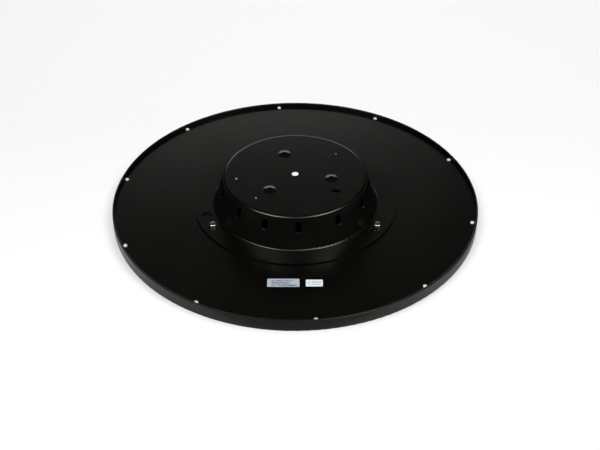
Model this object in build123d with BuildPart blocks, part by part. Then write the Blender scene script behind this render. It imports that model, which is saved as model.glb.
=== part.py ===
"""Round LED flat-panel ceiling light, lying face down with its mounting canopy on top.

Millimetres throughout. +Z points from the light-giving face towards the ceiling. The
origin is the centre of the front rim, on the surface that the lamp lies on.
"""

import os
from math import atan2, cos, degrees, radians, sin, tan

from build123d import *

# Panel: a deep rim around a stack of diffuser, light guide, reflector and foam
rim_radius = 250.0
rim_height = 17.2
rim_wall = 2.5
rim_inner = rim_radius - rim_wall
lip_radius = 240.0
lip_height = 1.6
ledge_radius = 237.0
ledge_bottom = 8.6
ledge_top = 11.0
diffuser_top = 3.2
guide_top = 6.2
reflector_top = 6.45
foam_top = 10.95
plate_top = 12.0

# Screws around the rim that hold the back plate down on the ledge
rim_screw_count = 10
rim_screw_start = 96.1
rim_screw_circle = 243.5
rim_screw_head = 2.75

# Canopy: a pressed steel cup with a flange, the part that is fixed to the ceiling
sheet = 1.1
canopy_top = 57.5
cup_top_radius = 97.4
cup_base_radius = 111.6
flange_radius = 139.0
flange_gap = 0.3
flange_bottom = plate_top + flange_gap
flange_top = flange_bottom + sheet
flange_lift = 0.5
wall_tilt = degrees(atan2(cup_base_radius - cup_top_radius, canopy_top - flange_top))
cup_inset = sheet * tan(radians(45 - wall_tilt / 2))
cup_corner = 4.5
cup_foot = 2.6
vent_z = 44.0
vent_length = 17.6
vent_width = 10.2
vent_roll = 0.8
vent_inset = 0.5
front_vents = [195.6, 223.3, 247.3, 272.5, 303.7, 330.7]
vent_pitch = 28.11
vent_angles = front_vents + [front_vents[-1] + vent_pitch * step for step in range(1, 8)]
boss_circle = 50.0
boss_start = 107.5
boss_base = 8.6
boss_crown = 3.6
boss_height = 1.9
boss_foot_round = 6.0
boss_crown_round = 7.0
fixing_hole = 2.5
cable_hole = 4.6
side_slot = (54.3, -38.0)
side_slot_radius = 5.75
side_slot_over = 0.8
plug_recess = 0.6
rivet_spots = [(-79.3, -12.0), (-51.6, -56.0)]

# Bayonet lock between canopy and panel, keyed by its uneven angles
bayonet_circle = 125.0
bayonet_angles = [90.0, 208.3, 331.7]
bayonet_twist = 12.0
lock_shank = 2.45
lock_slot = 5.7
lock_head = 5.2
lock_washer_bottom = flange_top + 0.65
lock_washer_top = lock_washer_bottom + 0.8
lock_head_bottom = lock_washer_top + 0.1
lock_head_height = 3.2
lock_tip = 7.9

# LED driver, terminal block and the fixings that go through the back plate
driver_x, driver_y = 0.0, 40.0
driver_long, driver_wide = 108.0, 50.0
driver_rim = 33.0
driver_top = 36.0
driver_ear_x = 61.0
terminal_y = -41.0
terminal_long, terminal_wide = 36.0, 22.0
terminal_top = 30.0
terminal_ear_x = 23.5
pole_x = [-11.0, 0.0, 11.0]
wire_z = 20.0
earth_spot = (11.0, 3.0)
outlet = (36.0, -6.0)
led_lead_x = [34.7, 37.3]
led_lead_z = 7.6

LOW = (Align.CENTER, Align.CENTER, Align.MIN)


def polar(radius, degrees):
    """Point on a circle around the lamp's axis."""
    return (radius * cos(radians(degrees)), radius * sin(radians(degrees)))


def corner(profile, x, y):
    """Corner of a sketch nearest to a point."""
    return profile.vertices().sort_by_distance((x, y, 0))[0]


def save(solid, name):
    """Label one piece and write it to its own file."""
    solid.part.label = name
    export_step(solid.part, f"parts/{name}.step")


os.makedirs("parts", exist_ok=True)
bayonet_spots = [polar(bayonet_circle, angle) for angle in bayonet_angles]
driver_fixings = [(-driver_ear_x, driver_y), (driver_ear_x, driver_y)]
terminal_fixings = [(-terminal_ear_x, terminal_y), (terminal_ear_x, terminal_y)]

# ---------------------------------------------------------------- panel

# Rolled rim: front lip, outer wall and the ledge that the back plate is screwed to
with BuildPart() as frame_ring:
    with BuildSketch(Plane.XZ) as rim_profile:
        with BuildLine():
            Polyline(
                (lip_radius, 0),
                (rim_radius, 0),
                (rim_radius, rim_height),
                (rim_inner, rim_height),
                (rim_inner, ledge_top),
                (ledge_radius, ledge_top),
                (ledge_radius, ledge_bottom),
                (rim_inner, ledge_bottom),
                (rim_inner, lip_height),
                (lip_radius, lip_height),
                close=True,
            )
        make_face()
        fillet(corner(rim_profile, rim_radius, 0), radius=1.2)
        fillet(corner(rim_profile, rim_radius, rim_height), radius=0.9)
        fillet(corner(rim_profile, rim_inner, rim_height), radius=1.3)
        fillet(corner(rim_profile, lip_radius, 0), radius=0.5)
    revolve(axis=Axis.Z)
    with BuildSketch(Plane.XY.offset(ledge_bottom)):
        with PolarLocations(rim_screw_circle, rim_screw_count, start_angle=rim_screw_start):
            Circle(1.45)
    extrude(amount=ledge_top - ledge_bottom, mode=Mode.SUBTRACT)
save(frame_ring, "frame_ring")

# Opal disc that gives the light, lying on the front lip
with BuildPart() as diffuser:
    with BuildSketch(Plane.XY.offset(lip_height)):
        Circle(rim_inner - 0.6)
    extrude(amount=diffuser_top - lip_height)
save(diffuser, "diffuser")

# Clear disc that carries the light of the edge LEDs inwards
with BuildPart() as light_guide:
    with BuildSketch(Plane.XY.offset(diffuser_top)):
        Circle(243.2)
    extrude(amount=guide_top - diffuser_top)
save(light_guide, "light_guide")

# White sheet behind the light guide
with BuildPart() as reflector_sheet:
    with BuildSketch(Plane.XY.offset(guide_top)):
        Circle(243.0)
    extrude(amount=reflector_top - guide_top)
save(reflector_sheet, "reflector_sheet")

# Foam disc that keeps the stack pressed to the front, with room for fixings and leads
with BuildPart() as backing_foam:
    with BuildSketch(Plane.XY.offset(reflector_top)):
        Circle(ledge_radius - 0.6)
        with Locations(*bayonet_spots, outlet):
            Circle(6.0, mode=Mode.SUBTRACT)
        with Locations(*driver_fixings, *terminal_fixings, earth_spot):
            Circle(3.5, mode=Mode.SUBTRACT)
        with Locations((outlet[0], -ledge_radius / 2)):
            Rectangle(9, ledge_radius + 2, mode=Mode.SUBTRACT)
    extrude(amount=foam_top - reflector_top)
save(backing_foam, "backing_foam")

# Circuit strip around the inside of the rim
with BuildPart() as led_strip:
    with BuildSketch(Plane.XY.offset(3.3)):
        Circle(247.4)
        Circle(246.4, mode=Mode.SUBTRACT)
    extrude(amount=5.1)
save(led_strip, "led_strip")

# The LEDs on the strip, facing the edge of the light guide
with BuildPart() as led_chips:
    with BuildSketch(Plane.XY.offset(3.5)):
        with PolarLocations(245.7, 72):
            Rectangle(1.3, 3.0)
    extrude(amount=2.4)
save(led_chips, "led_chips")

# Steel sheet that closes the back of the panel
with BuildPart() as back_plate:
    with BuildSketch(Plane.XY.offset(ledge_top)):
        Circle(rim_inner - 0.3)
        with PolarLocations(rim_screw_circle, rim_screw_count, start_angle=rim_screw_start):
            Circle(1.7, mode=Mode.SUBTRACT)
        with Locations(*bayonet_spots):
            Circle(3.45, mode=Mode.SUBTRACT)
        with Locations(*driver_fixings, *terminal_fixings):
            Circle(1.55, mode=Mode.SUBTRACT)
        with Locations(earth_spot):
            Circle(2.05, mode=Mode.SUBTRACT)
        with Locations(outlet):
            Circle(3.9, mode=Mode.SUBTRACT)
    extrude(amount=plate_top - ledge_top)
save(back_plate, "back_plate")

# Small domed screws with a cross recess around the rim
with BuildPart() as rim_screws:
    with BuildSketch(Plane.XY.offset(ledge_bottom + 0.15)):
        with PolarLocations(rim_screw_circle, rim_screw_count, start_angle=rim_screw_start):
            Circle(1.4)
    extrude(amount=plate_top - ledge_bottom - 0.15)
    with BuildSketch(Plane.XY.offset(plate_top)):
        with PolarLocations(rim_screw_circle, rim_screw_count, start_angle=rim_screw_start):
            Circle(rim_screw_head)
    extrude(amount=1.7)
    fillet(rim_screws.faces().filter_by(Axis.Z).group_by(Axis.Z)[-1].edges(), radius=1.4)
    with BuildSketch(Plane.XY.offset(plate_top + 0.9)):
        with PolarLocations(rim_screw_circle, rim_screw_count, start_angle=rim_screw_start):
            Rectangle(2.3, 0.55)
            Rectangle(0.55, 2.3)
    extrude(amount=1.0, mode=Mode.SUBTRACT)
save(rim_screws, "rim_screws")

# Clinch nuts for the bayonet screws, set in the back plate from inside
with BuildPart() as clinch_nuts:
    with BuildSketch(Plane.XY.offset(7.7)):
        with Locations(*bayonet_spots):
            RegularPolygon(4.6, 6)
    extrude(amount=ledge_top - 7.7)
    with BuildSketch(Plane.XY.offset(ledge_top)):
        with Locations(*bayonet_spots):
            Circle(3.4)
    extrude(amount=0.9)
    with BuildSketch(Plane.XY.offset(7.7)):
        with Locations(*bayonet_spots):
            Circle(lock_shank + 0.05)
    extrude(amount=6, mode=Mode.SUBTRACT)
save(clinch_nuts, "clinch_nuts")

# Two stickers on the back plate
with BuildPart() as rating_label:
    with BuildSketch(Plane.XY.offset(plate_top)):
        with Locations((-14.5, -173.9)):
            RectangleRounded(40.5, 15.5, 1.0)
    extrude(amount=0.15)
save(rating_label, "rating_label")

with BuildPart() as batch_label:
    with BuildSketch(Plane.XY.offset(plate_top)):
        with Locations((24.5, -174.4)):
            RectangleRounded(21.4, 13.0, 0.8)
    extrude(amount=0.15)
save(batch_label, "batch_label")

# ---------------------------------------------------------------- canopy

# One oval vent in the cup's sloping wall, and the edge rolled in around it
wall_radius = cup_top_radius + (canopy_top - vent_z) * tan(radians(wall_tilt))
wall_normal = Vector(cos(radians(wall_tilt)), 0, sin(radians(wall_tilt)))
wall_plane = Plane(origin=(wall_radius, 0, vent_z), x_dir=(0, 1, 0), z_dir=wall_normal)
with BuildPart() as vent_cut:
    with BuildSketch(wall_plane):
        Ellipse(vent_width / 2, vent_length / 2)
    extrude(amount=6, both=True)

with BuildPart() as vent_edge:
    with BuildSketch(wall_plane.offset(-vent_roll), mode=Mode.PRIVATE) as roll_outline:
        Ellipse(vent_width / 2 - vent_inset, vent_length / 2 - vent_inset)
    roll_path = roll_outline.sketch.wires()[0]
    with BuildSketch(Plane(origin=roll_path @ 0, z_dir=roll_path % 0)):
        Circle(vent_roll)
    sweep(path=roll_path)

# Cup, flange, vents, keyholes and the three raised ceiling-fixing bosses
with BuildPart() as canopy:
    with BuildSketch(Plane.XZ) as cup_profile:
        with BuildLine():
            Polyline(
                (0, canopy_top),
                (cup_top_radius, canopy_top),
                (cup_base_radius, flange_top),
                (flange_radius, flange_top + flange_lift),
                (flange_radius, flange_bottom + flange_lift),
                (cup_base_radius - cup_inset, flange_bottom),
                (cup_top_radius - cup_inset, canopy_top - sheet),
                (0, canopy_top - sheet),
                close=True,
            )
        make_face()
        fillet(corner(cup_profile, cup_top_radius, canopy_top), radius=cup_corner)
        fillet(
            corner(cup_profile, cup_top_radius - cup_inset, canopy_top - sheet),
            radius=cup_corner - sheet,
        )
        fillet(corner(cup_profile, cup_base_radius, flange_top), radius=cup_foot)
        fillet(
            corner(cup_profile, cup_base_radius - cup_inset, flange_bottom),
            radius=cup_foot + sheet,
        )
    revolve(axis=Axis.Z)
    boss_spots = [polar(boss_circle, boss_start + 120 * step) for step in range(3)]
    with Locations(*[(x, y, canopy_top) for x, y in boss_spots]):
        Cone(boss_base, boss_crown, boss_height, align=LOW)
    fillet(
        canopy.edges().filter_by(GeomType.CIRCLE).filter_by(lambda e: abs(e.radius - boss_base) < 0.01),
        radius=boss_foot_round,
    )
    fillet(
        canopy.edges().filter_by(GeomType.CIRCLE).filter_by(lambda e: abs(e.radius - boss_crown) < 0.01),
        radius=boss_crown_round,
    )
    with Locations(*[(x, y, canopy_top - sheet) for x, y in boss_spots]):
        Cone(boss_base, boss_crown, boss_height, align=LOW, mode=Mode.SUBTRACT)
    with BuildSketch(Plane.XY.offset(canopy_top - sheet - 1)):
        with Locations(*boss_spots):
            Circle(fixing_hole)
        Circle(cable_hole)
        with Locations(side_slot):
            Circle(side_slot_radius)
            with Locations((0, side_slot_radius + side_slot_over)):
                Rectangle(2 * side_slot_radius, 2 * side_slot_radius, mode=Mode.SUBTRACT)
        with Locations(*rivet_spots):
            Circle(1.05)
    extrude(amount=boss_height + sheet + 2, mode=Mode.SUBTRACT)
    for angle in vent_angles:
        add(vent_cut.part.rotate(Axis.Z, angle), mode=Mode.SUBTRACT)
        add(vent_edge.part.rotate(Axis.Z, angle))
    with BuildSketch(Plane.XY.offset(flange_bottom)):
        for angle in bayonet_angles:
            slot_line = CenterArc((0, 0), bayonet_circle, angle, -bayonet_twist, mode=Mode.PRIVATE)
            SlotArc(slot_line, lock_slot)
            with Locations(polar(bayonet_circle, angle - bayonet_twist)):
                Circle(7.0)
    extrude(amount=sheet + flange_lift, mode=Mode.SUBTRACT)
save(canopy, "canopy")

# White plug that closes the central cable hole until it is pierced for the supply cable
with BuildPart() as cable_plug:
    with BuildSketch(Plane.XY.offset(canopy_top - sheet - 1.5)):
        Circle(7.6)
    extrude(amount=1.5)
    with BuildSketch(Plane.XY.offset(canopy_top - sheet)):
        Circle(cable_hole - 0.05)
    extrude(amount=sheet - plug_recess)
    with BuildSketch(Plane.XY.offset(canopy_top - sheet - 1.5)):
        Circle(3.3)
    extrude(amount=1.2, mode=Mode.SUBTRACT)
save(cable_plug, "cable_plug")

# Cord clamp behind the half-round side slot
clamp_x, clamp_y = 54.0, -26.0
clamp_screw_spots = [(clamp_x - 11, clamp_y), (clamp_x + 11, clamp_y)]
with BuildPart() as cord_clamp_base:
    with Locations((clamp_x, clamp_y, 50.4)):
        Box(30, 16, canopy_top - sheet - 50.4, align=LOW)
    fillet(cord_clamp_base.edges().filter_by(Axis.Z), radius=1.5)
    with Locations((clamp_x, clamp_y, 50.4)):
        Cylinder(4.2, 16, rotation=(90, 0, 0), mode=Mode.SUBTRACT)
    with BuildSketch(Plane.XY.offset(50.4)):
        with Locations(*clamp_screw_spots):
            Circle(1.35)
    extrude(amount=4.5, mode=Mode.SUBTRACT)
save(cord_clamp_base, "cord_clamp_base")

with BuildPart() as cord_clamp_bar:
    with Locations((clamp_x, clamp_y, 45.6)):
        Box(30, 9, 3.6, align=LOW)
    fillet(cord_clamp_bar.edges().filter_by(Axis.Z), radius=1.5)
    with Locations((clamp_x, clamp_y - 3, 49.2), (clamp_x, clamp_y, 49.2), (clamp_x, clamp_y + 3, 49.2)):
        Box(9, 0.8, 0.7, align=LOW)
    with BuildSketch(Plane.XY.offset(45.6)):
        with Locations(*clamp_screw_spots):
            Circle(1.6)
    extrude(amount=3.6, mode=Mode.SUBTRACT)
save(cord_clamp_bar, "cord_clamp_bar")

with BuildPart() as cord_clamp_screws:
    with BuildSketch(Plane.XY.offset(43.6)):
        with Locations(*clamp_screw_spots):
            Circle(2.7)
    extrude(amount=2.0)
    with BuildSketch(Plane.XY.offset(45.6)):
        with Locations(*clamp_screw_spots):
            Circle(1.3)
    extrude(amount=9.0)
    with BuildSketch(Plane.XY.offset(43.6)):
        with Locations(*clamp_screw_spots):
            Rectangle(3.4, 0.7)
            Rectangle(0.7, 3.4)
    extrude(amount=1.0, mode=Mode.SUBTRACT)
save(cord_clamp_screws, "cord_clamp_screws")

# Strap with an eye for a safety cord, riveted below the top of the cup
strap_mid = (Vector(*rivet_spots[0]) + Vector(*rivet_spots[1])) / 2
strap_run = Vector(*rivet_spots[1]) - Vector(*rivet_spots[0])
strap_under = canopy_top - sheet - 1.2
strap_plane = Plane(
    origin=(strap_mid.X, strap_mid.Y, strap_under),
    x_dir=strap_run.normalized(),
    z_dir=(0, 0, 1),
)
with BuildPart() as safety_strap:
    with BuildSketch(strap_plane) as strap_outline:
        SlotCenterToCenter(strap_run.length, 11)
        with Locations((strap_run.length / 2, 0), (-strap_run.length / 2, 0)):
            Circle(1.05, mode=Mode.SUBTRACT)
    extrude(amount=1.2)
    tab_plane = Plane(origin=strap_plane.origin, x_dir=strap_plane.x_dir, z_dir=-strap_plane.y_dir)
    with BuildSketch(tab_plane) as strap_tab:
        with Locations((0, -5)):
            Rectangle(16, 10.4)
        fillet(strap_tab.vertices().group_by(Axis.Y)[0], radius=4)
        with Locations((0, -5)):
            Circle(2.6, mode=Mode.SUBTRACT)
    extrude(amount=1.2)
save(safety_strap, "safety_strap")

with BuildPart() as strap_rivets:
    with BuildSketch(Plane.XY.offset(strap_under - 0.8)):
        with Locations(*rivet_spots):
            Circle(2.3)
    extrude(amount=0.8)
    with BuildSketch(Plane.XY.offset(strap_under)):
        with Locations(*rivet_spots):
            Circle(1.0)
    extrude(amount=canopy_top - strap_under)
    with BuildSketch(Plane.XY.offset(canopy_top)):
        with Locations(*rivet_spots):
            Circle(1.45)
    extrude(amount=0.8)
    fillet(strap_rivets.faces().filter_by(Axis.Z).group_by(Axis.Z)[-1].edges(), radius=0.6)
save(strap_rivets, "strap_rivets")

# ---------------------------------------------------------------- bayonet lock

# Three captive washers and the pan-head screws that the keyholes hang on
for number, (x, y) in enumerate(bayonet_spots, start=1):
    with BuildPart() as lock_washer:
        with BuildSketch(Plane.XY.offset(lock_washer_bottom)):
            with Locations((x, y)):
                Circle(5.0)
                Circle(lock_shank + 0.08, mode=Mode.SUBTRACT)
        extrude(amount=lock_washer_top - lock_washer_bottom)
    save(lock_washer, f"lock_washer_{number}")

    with BuildPart() as lock_screw:
        with BuildSketch(Plane.XY.offset(lock_tip)):
            with Locations((x, y)):
                Circle(lock_shank)
        extrude(amount=lock_head_bottom - lock_tip)
        with BuildSketch(Plane.XY.offset(lock_head_bottom)):
            with Locations((x, y)):
                Circle(lock_head)
        extrude(amount=lock_head_height)
        fillet(lock_screw.faces().sort_by(Axis.Z)[-1].edges(), radius=2.0)
        with BuildSketch(Plane.XY.offset(lock_head_bottom + lock_head_height - 1.7)):
            with Locations((x, y)):
                Rectangle(6.0, 1.3, rotation=20)
                Rectangle(1.3, 6.0, rotation=20)
        extrude(amount=3, mode=Mode.SUBTRACT)
    save(lock_screw, f"lock_screw_{number}")

# ---------------------------------------------------------------- LED driver

# Tray with two fixing ears and four lead outlets in its front wall
with BuildPart() as driver_case:
    with Locations((driver_x, driver_y, plate_top)):
        Box(driver_long, driver_wide, driver_rim - plate_top, align=LOW)
    fillet(driver_case.edges().filter_by(Axis.Z), radius=2.5)
    with Locations((driver_x, driver_y, plate_top)):
        Box(2 * driver_ear_x + 12, 16, 1.8, align=LOW)
    with Locations((driver_x, driver_y, plate_top + 1.8)):
        Box(driver_long - 3, driver_wide - 3, driver_rim, align=LOW, mode=Mode.SUBTRACT)
    with BuildSketch(Plane.XY.offset(plate_top)):
        with Locations(*driver_fixings):
            Circle(1.7)
    extrude(amount=3, mode=Mode.SUBTRACT)
    with Locations(*[(x, driver_y - driver_wide / 2, wire_z) for x in (-24, -12)]):
        Cylinder(1.3, 6, rotation=(90, 0, 0), mode=Mode.SUBTRACT)
    with Locations(*[(x, driver_y - driver_wide / 2, wire_z) for x in led_lead_x]):
        Cylinder(0.9, 6, rotation=(90, 0, 0), mode=Mode.SUBTRACT)
save(driver_case, "driver_case")

# Lid that drops into the tray
with BuildPart() as driver_lid:
    with BuildSketch(Plane.XY.offset(driver_rim)):
        with Locations((driver_x, driver_y)):
            RectangleRounded(driver_long, driver_wide, 2.5)
    extrude(amount=driver_top - driver_rim)
    fillet(driver_lid.faces().sort_by(Axis.Z)[-1].edges(), radius=1.0)
    with BuildSketch(Plane.XY.offset(driver_rim - 2)):
        with Locations((driver_x, driver_y)):
            Rectangle(driver_long - 3.4, driver_wide - 3.4)
            Rectangle(driver_long - 6.4, driver_wide - 6.4, mode=Mode.SUBTRACT)
    extrude(amount=2)
save(driver_lid, "driver_lid")

# Circuit board and its largest components
with BuildPart() as driver_board:
    with Locations((driver_x, driver_y + 1, plate_top + 1.8)):
        Box(98, 42, 1.6, align=LOW)
save(driver_board, "driver_board")
board_top = plate_top + 3.4

with BuildPart() as driver_transformer:
    with Locations((2, 44, board_top)):
        Box(22, 20, 12, align=LOW)
    with Locations((2, 44, board_top + 2)):
        Box(12, 24, 8, align=LOW)
save(driver_transformer, "driver_transformer")

with BuildPart() as driver_capacitors:
    with BuildSketch(Plane.XY.offset(board_top)):
        with Locations((-36, 46), (-36, 33), (32, 48)):
            Circle(5.0)
    extrude(amount=12)
    fillet(driver_capacitors.faces().filter_by(Axis.Z).group_by(Axis.Z)[-1].edges(), radius=0.8)
save(driver_capacitors, "driver_capacitors")

# Tapping screws of driver and terminal block, alike and so kept together
with BuildPart() as plate_screws:
    with BuildSketch(Plane.XY.offset(8.0)):
        with Locations(*driver_fixings, *terminal_fixings):
            Circle(1.5)
    extrude(amount=plate_top + 1.8 - 8.0)
    with BuildSketch(Plane.XY.offset(plate_top + 1.8)):
        with Locations(*driver_fixings, *terminal_fixings):
            Circle(2.8)
    extrude(amount=2.0)
    fillet(plate_screws.faces().filter_by(Axis.Z).group_by(Axis.Z)[-1].edges(), radius=1.2)
    with BuildSketch(Plane.XY.offset(plate_top + 2.8)):
        with Locations(*driver_fixings, *terminal_fixings):
            Rectangle(3.2, 0.7)
            Rectangle(0.7, 3.2)
    extrude(amount=2, mode=Mode.SUBTRACT)
save(plate_screws, "plate_screws")

# ---------------------------------------------------------------- terminal block

# Housing with three poles: cable side in front, driver side behind, buttons on top
with BuildPart() as terminal_block:
    with Locations((0, terminal_y, plate_top)):
        Box(terminal_long, terminal_wide, terminal_top - plate_top, align=LOW)
    fillet(terminal_block.edges().filter_by(Axis.Z), radius=1.0)
    with Locations((0, terminal_y, plate_top)):
        Box(2 * terminal_ear_x + 9, 9, 1.8, align=LOW)
    with BuildSketch(Plane.XY.offset(plate_top)):
        with Locations(*terminal_fixings):
            Circle(1.7)
    extrude(amount=3, mode=Mode.SUBTRACT)
    for x in pole_x:
        with Locations((x, terminal_y - terminal_wide / 2, wire_z)):
            Cylinder(2.2, 22, rotation=(90, 0, 0), mode=Mode.SUBTRACT)
        with Locations((x, terminal_y + terminal_wide / 2, wire_z)):
            Cylinder(1.35, 16, rotation=(90, 0, 0), mode=Mode.SUBTRACT)
        with Locations((x, terminal_y, plate_top)):
            Box(8, 10, 5.8, align=LOW, mode=Mode.SUBTRACT)
        with Locations((x, terminal_y + 5, 25.0)):
            Box(6.6, 7.6, 6, align=LOW, mode=Mode.SUBTRACT)
save(terminal_block, "terminal_block")

# Brass contact of each pole, open below the wire hole
with BuildPart() as terminal_contacts:
    for x in pole_x:
        with Locations((x, terminal_y, 16.6)):
            Box(7.4, 9.4, 1.2, align=LOW)
        with Locations((x, terminal_y + 4.1, plate_top + 0.6)):
            Box(7.4, 1.2, 4.4, align=LOW)
save(terminal_contacts, "terminal_contacts")

# Release buttons
for number, x in enumerate(pole_x, start=1):
    with BuildPart() as terminal_button:
        with Locations((x, terminal_y + 5, 27.2)):
            Box(6.0, 7.0, 5.0, align=LOW)
        fillet(terminal_button.faces().sort_by(Axis.Z)[-1].edges(), radius=0.6)
        with Locations((x, terminal_y + 5, 31.4)):
            Box(3.4, 0.8, 2, align=LOW, mode=Mode.SUBTRACT)
    save(terminal_button, f"terminal_button_{number}")

# ---------------------------------------------------------------- leads

block_back = terminal_y + terminal_wide / 2
driver_front = driver_y - driver_wide / 2

# Live and neutral, level with the wire holes of block and driver
with BuildPart() as mains_leads:
    for start_x, end_x in ((-11.0, -24.0), (0.0, -12.0)):
        with BuildLine() as route:
            FilletPolyline(
                (start_x, block_back - 6, wire_z),
                (start_x, block_back + 16, wire_z),
                (end_x, driver_front - 14, wire_z),
                (end_x, driver_front + 4, wire_z),
                radius=9,
            )
        with BuildSketch(Plane(origin=route.line @ 0, z_dir=route.line % 0)):
            Circle(1.1)
        sweep(path=route.line)
save(mains_leads, "mains_leads")

# Earth lead from the third pole down to the ring lug on the plate
with BuildPart() as earth_lead:
    with BuildLine() as route:
        FilletPolyline(
            (11, block_back - 6, wire_z),
            (11, block_back + 11, wire_z),
            (11, block_back + 17, 14.3),
            (11, -5, 14.3),
            radius=5,
        )
    with BuildSketch(Plane(origin=route.line @ 0, z_dir=route.line % 0)):
        Circle(1.1)
    sweep(path=route.line)
save(earth_lead, "earth_lead")

with BuildPart() as earth_lug:
    with BuildSketch(Plane.XY.offset(plate_top)):
        with Locations(earth_spot):
            Circle(4.2)
        with Locations((earth_spot[0], earth_spot[1] - 6.5)):
            Rectangle(4.2, 9)
        with Locations(earth_spot):
            Circle(2.1, mode=Mode.SUBTRACT)
    extrude(amount=0.8)
    with Locations((earth_spot[0], earth_spot[1] - 8.5, 14.3)):
        Cylinder(2.1, 5, rotation=(90, 0, 0))
        Cylinder(1.15, 5, rotation=(90, 0, 0), mode=Mode.SUBTRACT)
save(earth_lug, "earth_lug")

with BuildPart() as earth_screw:
    with BuildSketch(Plane.XY.offset(8.0)):
        with Locations(earth_spot):
            Circle(1.95)
    extrude(amount=4.8)
    with BuildSketch(Plane.XY.offset(plate_top + 0.8)):
        with Locations(earth_spot):
            Circle(3.8)
    extrude(amount=2.6)
    fillet(earth_screw.faces().sort_by(Axis.Z)[-1].edges(), radius=1.4)
    with BuildSketch(Plane.XY.offset(plate_top + 2.2)):
        with Locations(earth_spot):
            Rectangle(4.2, 0.9)
            Rectangle(0.9, 4.2)
    extrude(amount=2, mode=Mode.SUBTRACT)
save(earth_screw, "earth_screw")

# Rubber grommet where the LED leads go through the back plate
with BuildPart() as outlet_grommet:
    with BuildSketch(Plane.XZ) as grommet_profile:
        with BuildLine():
            Polyline(
                (2.7, 9.9),
                (5.2, 9.9),
                (5.2, 10.9),
                (3.8, 10.9),
                (3.8, 12.1),
                (5.2, 12.1),
                (5.2, 13.1),
                (2.7, 13.1),
                close=True,
            )
        make_face()
    revolve(axis=Axis.Z)
    grommet_part = outlet_grommet.part.moved(Location((outlet[0], outlet[1], 0)))
    add(grommet_part, mode=Mode.REPLACE)
save(outlet_grommet, "outlet_grommet")

# Plus and minus of the LED strip, out of the driver, through the plate and along the foam
with BuildPart() as led_leads:
    for x in led_lead_x:
        with BuildLine() as route:
            FilletPolyline(
                (x, driver_front + 4, wire_z),
                (x, outlet[1], wire_z),
                (x, outlet[1], led_lead_z),
                (x, -243.2, led_lead_z),
                radius=4,
            )
        with BuildSketch(Plane(origin=route.line @ 0, z_dir=route.line % 0)):
            Circle(0.65)
        sweep(path=route.line)
save(led_leads, "led_leads")
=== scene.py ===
"""Studio picture of a round LED panel ceiling light, lying face down with its canopy up."""

import math

import bpy
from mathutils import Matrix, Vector


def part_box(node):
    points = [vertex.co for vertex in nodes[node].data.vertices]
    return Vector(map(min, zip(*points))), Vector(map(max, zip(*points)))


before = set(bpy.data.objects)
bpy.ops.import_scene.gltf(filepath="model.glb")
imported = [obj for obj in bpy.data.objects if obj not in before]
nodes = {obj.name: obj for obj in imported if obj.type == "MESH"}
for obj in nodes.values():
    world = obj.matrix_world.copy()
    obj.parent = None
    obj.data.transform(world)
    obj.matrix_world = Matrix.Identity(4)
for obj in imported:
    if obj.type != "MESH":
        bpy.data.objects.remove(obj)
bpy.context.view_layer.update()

MM = 0.001
NOISE_ROUGHNESS = 0.55
SPECK_EDGE = 0.3  # mm over which a rubbed speck fades out


# ------------------------------------------------------------------ material helpers


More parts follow.
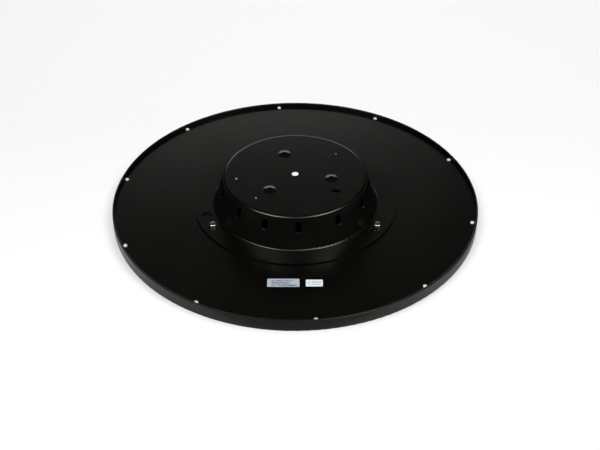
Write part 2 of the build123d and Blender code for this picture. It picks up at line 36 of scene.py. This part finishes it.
class Shade:
    """One node material: a Principled shader and short ways to add nodes to it."""

    def __init__(self, name, color, roughness, metallic=0.0):
        self.mat = bpy.data.materials.new(name)
        self.mat.use_nodes = True
        self.tree = self.mat.node_tree
        self.tree.nodes.clear()
        out = self.tree.nodes.new("ShaderNodeOutputMaterial")
        self.bsdf = self.tree.nodes.new("ShaderNodeBsdfPrincipled")
        self.link(self.bsdf.outputs["BSDF"], out.inputs["Surface"])
        self.set("Base Color", (*color, 1))
        self.set("Roughness", roughness)
        self.set("Metallic", metallic)
        self.set("IOR", 1.5)
        self.place = self.tree.nodes.new("ShaderNodeTexCoord").outputs["Object"]

    def set(self, socket, value):
        self.bsdf.inputs[socket].default_value = value

    def link(self, a, b):
        self.tree.links.new(a, b)

    def noise(self, scale, detail, stretch=None):
        """Noise in metres: scale is features per metre."""
        source = self.place
        if stretch:
            mapping = self.tree.nodes.new("ShaderNodeMapping")
            mapping.inputs["Scale"].default_value = stretch
            self.link(self.place, mapping.inputs["Vector"])
            source = mapping.outputs["Vector"]
        node = self.tree.nodes.new("ShaderNodeTexNoise")
        node.inputs["Scale"].default_value = scale
        node.inputs["Detail"].default_value = detail
        node.inputs["Roughness"].default_value = NOISE_ROUGHNESS
        self.link(source, node.inputs["Vector"])
        return node.outputs["Fac"]

    def math(self, kind, a, b=0.0):
        """Math node of one or two inputs, each a number or another node's socket."""
        node = self.tree.nodes.new("ShaderNodeMath")
        node.operation = kind
        for socket, value in zip(node.inputs, (a, b)):
            if isinstance(value, (int, float)):
                socket.default_value = value
            else:
                self.link(value, socket)
        return node.outputs[0]

    def ramp(self, factor, low, high, start=0.0, end=1.0):
        """Factor from low to high as the input goes from start to end."""
        node = self.tree.nodes.new("ShaderNodeMapRange")
        self.link(factor, node.inputs["Value"])
        node.inputs["From Min"].default_value = start
        node.inputs["From Max"].default_value = end
        node.inputs["To Min"].default_value = low
        node.inputs["To Max"].default_value = high
        return node.outputs["Result"]

    def axes(self):
        node = self.tree.nodes.new("ShaderNodeSeparateXYZ")
        self.link(self.place, node.inputs["Vector"])
        return node.outputs["X"], node.outputs["Y"], node.outputs["Z"]

    def near(self, x, y, radius):
        """1 inside a circle around (x, y) in mm, falling to 0 at its edge."""
        px, py, _ = self.axes()
        dx = self.math("SUBTRACT", px, x * MM)
        dy = self.math("SUBTRACT", py, y * MM)
        square = self.math("ADD", self.math("MULTIPLY", dx, dx), self.math("MULTIPLY", dy, dy))
        distance = self.math("SQRT", square)
        return self.ramp(distance, 1, 0, (radius - SPECK_EDGE) * MM, (radius + SPECK_EDGE) * MM)

    def tint(self, factor, color):
        """Blends a second colour over the base colour where factor is 1."""
        node = self.tree.nodes.new("ShaderNodeMix")
        node.data_type = "RGBA"
        self.link(factor, node.inputs["Factor"])
        socket = self.bsdf.inputs["Base Color"]
        if socket.is_linked:
            self.link(socket.links[0].from_socket, node.inputs["A"])
        else:
            node.inputs["A"].default_value = socket.default_value
        node.inputs["B"].default_value = (*color, 1)
        self.link(node.outputs["Result"], socket)

    def vary_roughness(self, factor, low, high):
        """Roughness from low to high over the middle part of a noise."""
        self.link(self.ramp(factor, low, high, 0.3, 0.7), self.bsdf.inputs["Roughness"])

    def bump(self, factor, distance_mm):
        node = self.tree.nodes.new("ShaderNodeBump")
        node.inputs["Distance"].default_value = distance_mm * MM
        node.inputs["Strength"].default_value = 1.0
        self.link(factor, node.inputs["Height"])
        self.link(node.outputs["Normal"], self.bsdf.inputs["Normal"])


def painted(name, color, roughness):
    """Powder coat: a fine orange-peel grain and slow changes of gloss."""
    grain = 1400.0
    gloss_change = 0.012
    s = Shade(name, color, roughness)
    s.vary_roughness(s.noise(9, 2), roughness - gloss_change, roughness + gloss_change)
    lighter = tuple(c * 1.6 + 0.0002 for c in color)
    s.tint(s.ramp(s.noise(grain, 2), 0, 0.6, 0.45, 0.75), lighter)
    s.bump(s.noise(grain, 2), 0.006)
    return s


def metal(name, color, roughness):
    """Bare or plated metal with a fine grain and duller patches."""
    s = Shade(name, color, roughness, metallic=1.0)
    grain = s.noise(2600, 3)
    s.vary_roughness(grain, roughness - 0.06, roughness + 0.1)
    s.tint(s.ramp(s.noise(300, 3), 0, 0.5, 0.4, 0.8), tuple(c * 0.75 for c in color))
    s.bump(grain, 0.01)
    return s


def plastic(name, color, roughness, grain=1800.0, bump=0.012):
    """Moulded plastic, film or foam: slow changes of gloss and colour, and a grain."""
    s = Shade(name, color, roughness)
    s.vary_roughness(s.noise(60, 3), roughness - 0.05, roughness + 0.08)
    s.tint(s.ramp(s.noise(90, 3), 0, 0.4, 0.4, 0.8), tuple(c * 0.88 for c in color))
    s.bump(s.noise(grain, 2), bump)
    return s


def banded(name, colors, pitch_mm, axis):
    """Insulation or tape in two colours that change along one axis."""
    s = plastic(name, colors[0], 0.35)
    along = s.axes()[axis]
    wave = s.math("PINGPONG", along, pitch_mm * MM)
    s.tint(s.ramp(wave, 0, 1, pitch_mm * 0.48 * MM, pitch_mm * 0.52 * MM), colors[1])
    return s


def label(name, color, ink, centre, size, blocks):
    """Sticker with blocks of generic print, each (u0, u1, v0, v1, rows, darkness).

    Centre and size are in mm, and a block's edges are in parts of the sticker's size.
    """
    s = Shade(name, color, 0.38)
    x, y, _ = s.axes()
    left, low_edge = centre[0] - size[0] / 2, centre[1] - size[1] / 2
    u = s.math("DIVIDE", s.math("SUBTRACT", x, left * MM), size[0] * MM)
    v = s.math("DIVIDE", s.math("SUBTRACT", y, low_edge * MM), size[1] * MM)
    marks = s.math("GREATER_THAN", s.noise(900, 1, stretch=(0.8, 0.4, 1)), 0.44)
    for u0, u1, v0, v1, rows, darkness in blocks:
        row = s.math("FRACT", s.math("MULTIPLY", s.math("SUBTRACT", v, v0), rows / (v1 - v0)))
        inked = s.math("MULTIPLY", s.math("LESS_THAN", row, 0.6), marks)
        for low, high, value in ((u0, u1, u), (v0, v1, v)):
            inked = s.math("MULTIPLY", inked, s.math("GREATER_THAN", value, low))
            inked = s.math("MULTIPLY", inked, s.math("LESS_THAN", value, high))
        s.tint(s.math("MULTIPLY", inked, darkness), ink)
    s.bump(s.noise(500, 2), 0.01)
    return s


# ------------------------------------------------------------------ materials

BLACK = (0.00085, 0.00082, 0.0006)
shades = {
    "plate": painted("plate_paint", BLACK, 0.24),
    "cup": painted("canopy_paint", BLACK, 0.24),
    "rim": painted("rim_paint", (0.0032, 0.003, 0.0025), 0.3),
    "opal": plastic("opal", (0.9, 0.9, 0.88), 0.45),
    "acrylic": plastic("acrylic", (0.85, 0.88, 0.9), 0.08),
    "film": plastic("white_film", (0.9, 0.9, 0.9), 0.6),
    "foam": plastic("foam", (0.1, 0.1, 0.105), 0.9, grain=500, bump=0.2),
    "circuit": plastic("white_circuit", (0.85, 0.85, 0.82), 0.5),
    "phosphor": plastic("phosphor", (0.9, 0.7, 0.12), 0.4),
    "nickel": metal("nickel", (0.78, 0.76, 0.7), 0.22),
    "pale": metal("pale_nickel", (0.86, 0.84, 0.8), 0.3),
    "zinc": metal("zinc", (0.62, 0.63, 0.65), 0.36),
    "bright": metal("bright_nickel", (0.5, 0.49, 0.47), 0.2),
    "brass": metal("brass", (0.75, 0.55, 0.22), 0.3),
    "tin": metal("tin", (0.7, 0.69, 0.66), 0.32),
    "case": plastic("driver_black", (0.004, 0.004, 0.0042), 0.6),
    "board": plastic("board", (0.02, 0.16, 0.05), 0.4),
    "ferrite": banded("ferrite", [(0.75, 0.6, 0.08), (0.05, 0.05, 0.055)], 6.0, 2),
    "capacitor": banded("capacitor", [(0.02, 0.025, 0.06), (0.3, 0.3, 0.32)], 14.0, 1),
    "terminal": plastic("terminal_grey", (0.42, 0.43, 0.44), 0.5),
    "button": plastic("button_orange", (0.8, 0.22, 0.03), 0.4),
    "mains": banded("mains_sleeve", [(0.12, 0.04, 0.015), (0.02, 0.05, 0.3)], 400.0, 0),
    "earth": banded("earth_sleeve", [(0.05, 0.32, 0.04), (0.75, 0.6, 0.05)], 3.0, 1),
    "led": banded("led_sleeve", [(0.4, 0.02, 0.015), (0.02, 0.02, 0.02)], 36.0, 0),
    "rubber": plastic("black_rubber", (0.012, 0.012, 0.012), 0.75),
    "plug": plastic("white_plug", (0.95, 0.95, 0.94), 0.5),
    "clamp": plastic("clamp_black", (0.01, 0.01, 0.01), 0.5),
    "rating": label(
        "rating_sticker",
        (0.33, 0.375, 0.43),
        (0.02, 0.03, 0.05),
        (-14.5, -173.9),
        (40.5, 15.5),
        [
            (0.13, 0.8, 0.68, 0.92, 1, 0.7),
            (0.13, 0.7, 0.14, 0.66, 3, 0.95),
            (0.66, 0.92, 0.12, 0.36, 1, 1.0),
        ],
    ),
    "batch": label(
        "batch_sticker",
        (0.6, 0.64, 0.65),
        (0.12, 0.2, 0.3),
        (24.5, -174.4),
        (21.4, 13.0),
        [
            (0.14, 0.26, 0.3, 0.8, 2, 0.6),
            (0.38, 0.9, 0.55, 0.85, 1, 0.8),
            (0.34, 0.92, 0.25, 0.45, 1, 0.8),
        ],
    ),
}

# The cup's lower wall has a duller coat: it begins just above the flange and fades out below
# the top. The top carries a few rubbed specks
DULL_ADDS = 0.13
DULL_BEGINS = (13.9 * MM, 15.0 * MM)
DULL_ENDS = (26 * MM, 46 * MM)
cup = shades["cup"]
height = cup.axes()[2]
dull = cup.math(
    "MULTIPLY",
    cup.ramp(height, 0, DULL_ADDS, *DULL_BEGINS),
    cup.ramp(height, 1, 0, *DULL_ENDS),
)
gloss = cup.bsdf.inputs["Roughness"].links[0].from_socket
cup.link(cup.math("ADD", gloss, dull), cup.bsdf.inputs["Roughness"])
for x, y, radius, depth in (
    (56.2, 48.2, 1.4, 0.12),
    (48.7, 45.8, 1.0, 0.05),
    (-58.5, -23.9, 1.5, 0.02),
    (-64.1, -25.5, 1.1, 0.012),
    (80.3, 42.8, 1.2, 0.006),
):
    cup.tint(cup.near(x, y, radius), (depth, depth, depth * 0.95))

# The black coat's sheen is a little warm, and the rim's is weaker too
WARM = (1.0, 0.965, 0.88, 1)
for name in ("plate", "cup", "rim"):
    shades[name].set("Specular Tint", WARM)
shades["rim"].set("Specular IOR Level", 0.26)

# The rim screws' plating is part matt, so they show pale from every side
shades["pale"].set("Metallic", 0.45)

# Which finish each CAD node gets
finish_of = {
    "frame_ring": "rim",
    "diffuser": "opal",
    "light_guide": "acrylic",
    "reflector_sheet": "film",
    "backing_foam": "foam",
    "led_strip": "circuit",
    "led_chips": "phosphor",
    "back_plate": "plate",
    "rim_screws": "pale",
    "clinch_nuts": "zinc",
    "rating_label": "rating",
    "batch_label": "batch",
    "driver_case": "case",
    "driver_lid": "case",
    "driver_board": "board",
    "driver_transformer": "ferrite",
    "driver_capacitors": "capacitor",
    "plate_screws": "zinc",
    "terminal_block": "terminal",
    "terminal_contacts": "brass",
    "mains_leads": "mains",
    "earth_lead": "earth",
    "earth_lug": "tin",
    "earth_screw": "nickel",
    "outlet_grommet": "rubber",
    "led_leads": "led",
    "canopy": "cup",
    "cable_plug": "plug",
    "cord_clamp_base": "clamp",
    "cord_clamp_bar": "clamp",
    "cord_clamp_screws": "zinc",
    "safety_strap": "zinc",
    "strap_rivets": "zinc",
}
for number in (1, 2, 3):
    finish_of[f"lock_washer_{number}"] = "zinc"
    finish_of[f"lock_screw_{number}"] = "bright"
    finish_of[f"terminal_button_{number}"] = "button"

for name, node in nodes.items():
    node.data.materials.clear()
    node.data.materials.append(shades[finish_of[name]].mat)

# ------------------------------------------------------------------ floor and light

PALE = (0.5, 0.5, 0.5)
FLOOR_SIDE = 3
FLOOR_FRONT = -2.2
FLOOR_BACK = 2.6
GLOW_CHANGES = (0.2, 2.4)  # metres in Y between which a card's glow goes over to far_glow
RING_STEPS = 96


def card(name, corners, color, glow, faces=((0, 1, 2, 3),), far_glow=None):
    """Flat card of the studio, not part of the object. Its glow can change towards the back."""
    mesh = bpy.data.meshes.new(name)
    mesh.from_pydata(corners, [], faces)
    obj = bpy.data.objects.new(name, mesh)
    bpy.context.scene.collection.objects.link(obj)
    s = Shade(name, color, 0.9)
    s.set("Emission Color", (1, 1, 1, 1))
    s.set("Emission Strength", glow)
    if far_glow:
        towards_back = s.ramp(s.axes()[1], glow, far_glow, *GLOW_CHANGES)
        s.link(towards_back, s.bsdf.inputs["Emission Strength"])
    s.tint(s.ramp(s.noise(3, 2), 0, 0.1), tuple(c * 0.97 for c in color))
    mesh.materials.append(s.mat)
    return obj


def gloss_ring(name, radii, height, color, glow):
    """Flat ring that only gloss sees. radii(turn) gives its inner and outer radius."""
    corners = []
    for step in range(RING_STEPS + 1):
        turn = math.tau * step / RING_STEPS
        for radius in radii(turn):
            corners.append((radius * math.cos(turn), radius * math.sin(turn), height))
    faces = [
        (2 * step, 2 * step + 1, 2 * step + 3, 2 * step + 2) for step in range(RING_STEPS)
    ]
    obj = card(name, corners, color, glow, faces)
    obj.visible_camera = False
    obj.visible_diffuse = False
    obj.visible_shadow = False


def softbox(name, azimuth, elevation, distance, width, height, power):
    """Area light aimed at the lamp. Azimuth counts in degrees from +Y towards +X."""
    a, e = math.radians(azimuth), math.radians(elevation)
    way = Vector((math.sin(a) * math.cos(e), math.cos(a) * math.cos(e), math.sin(e)))
    data = bpy.data.lights.new(name, "AREA")
    data.shape = "RECTANGLE"
    data.size = width
    data.size_y = height
    data.energy = power
    obj = bpy.data.objects.new(name, data)
    obj.location = way * distance
    obj.rotation_mode = "QUATERNION"
    obj.rotation_quaternion = way.to_track_quat("Z", "Y")
    bpy.context.scene.collection.objects.link(obj)
    return obj


card(
    "floor",
    [
        (-FLOOR_SIDE, FLOOR_FRONT, 0),
        (FLOOR_SIDE, FLOOR_FRONT, 0),
        (FLOOR_SIDE, FLOOR_BACK, 0),
        (-FLOOR_SIDE, FLOOR_BACK, 0),
    ],
    PALE,
    0.33,
    far_glow=0.75,
)
card(
    "sweep",
    [
        (-0.93, FLOOR_BACK, 0),
        (0.76, FLOOR_BACK, 0),
        (0.76, FLOOR_BACK, 1.28),
        (-0.93, FLOOR_BACK, 1.46),
    ],
    PALE,
    0.74,
)

# Black cloth around the lamp: it keeps the cup's wall and edge dark
CLOTH_GAP = 0.03
CLOTH_RADIUS = 2.2
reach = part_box("frame_ring")[1][0] + CLOTH_GAP


def cloth_radii(turn):
    return reach, CLOTH_RADIUS


gloss_ring("cloth", cloth_radii, 0.0005, (0.002, 0.002, 0.002), 0.07)

# Half-lit strip between the rim and the cloth, wide at the front and at the right:
# (centre, half width) of the two wide stretches in degrees
STRIP_COVER = 0.95
STRIP_LEAST = 0.02
STRIP_STRETCHES = ((270, 33), (338, 27))


def swell(turn, centre, half):
    """1 at the centre of a stretch, falling to 0 at its ends."""
    away = abs(math.degrees(turn) - centre) / half
    return math.sqrt(max(0, math.cos(math.pi / 2 * min(1, away))))


def strip_radii(turn):
    swells = [STRIP_COVER * swell(turn, centre, half) for centre, half in STRIP_STRETCHES]
    return reach - CLOTH_GAP * max(*swells, STRIP_LEAST), reach


gloss_ring("shade_strip", strip_radii, 0.0007, (0.01, 0.01, 0.01), 0.5)

# Two keys and a weak broad light between them, and a fill that gloss doesn't see
softbox("key_left", -130, 55, 2.0, 1.05, 0.85, 20)
softbox("key_right", 121, 54, 2.0, 1.0, 0.85, 22)
softbox("front", 180, 56, 2.0, 1.5, 1.2, 5)
fill = softbox("fill", 0, 80, 3.2, 2.6, 2.6, 50)
fill.visible_glossy = False

# The room: pale where the camera looks past the floor, dark for light and reflections
ROOM_LIGHT = 0.02
ROOM_SEEN = 0.97
world = bpy.data.worlds.new("room")
world.use_nodes = True
tree = world.node_tree
room = tree.nodes["Background"]
room.inputs["Color"].default_value = (1, 1, 1, 1)
path = tree.nodes.new("ShaderNodeLightPath")
level = tree.nodes.new("ShaderNodeMapRange")
level.inputs["To Min"].default_value = ROOM_LIGHT
level.inputs["To Max"].default_value = ROOM_SEEN
tree.links.new(path.outputs["Is Camera Ray"], level.inputs["Value"])
tree.links.new(level.outputs["Result"], room.inputs["Strength"])
bpy.context.scene.world = world
bpy.context.scene.view_settings.view_transform = "Standard"

# ------------------------------------------------------------------ camera

target = Vector((0.0065, -0.03934, 0.0))
elevation = math.radians(37.667)
distance = 1.51575
camera_data = bpy.data.cameras.new("camera")
camera_data.lens = 66.9
camera_data.sensor_width = 36.0
camera = bpy.data.objects.new("camera", camera_data)
back = Vector((0, -math.cos(elevation), math.sin(elevation)))
camera.location = target + back * distance
camera.rotation_mode = "XYZ"
camera.rotation_euler = (math.pi / 2 - elevation, 0, 0)
bpy.context.scene.collection.objects.link(camera)
bpy.context.scene.camera = camera
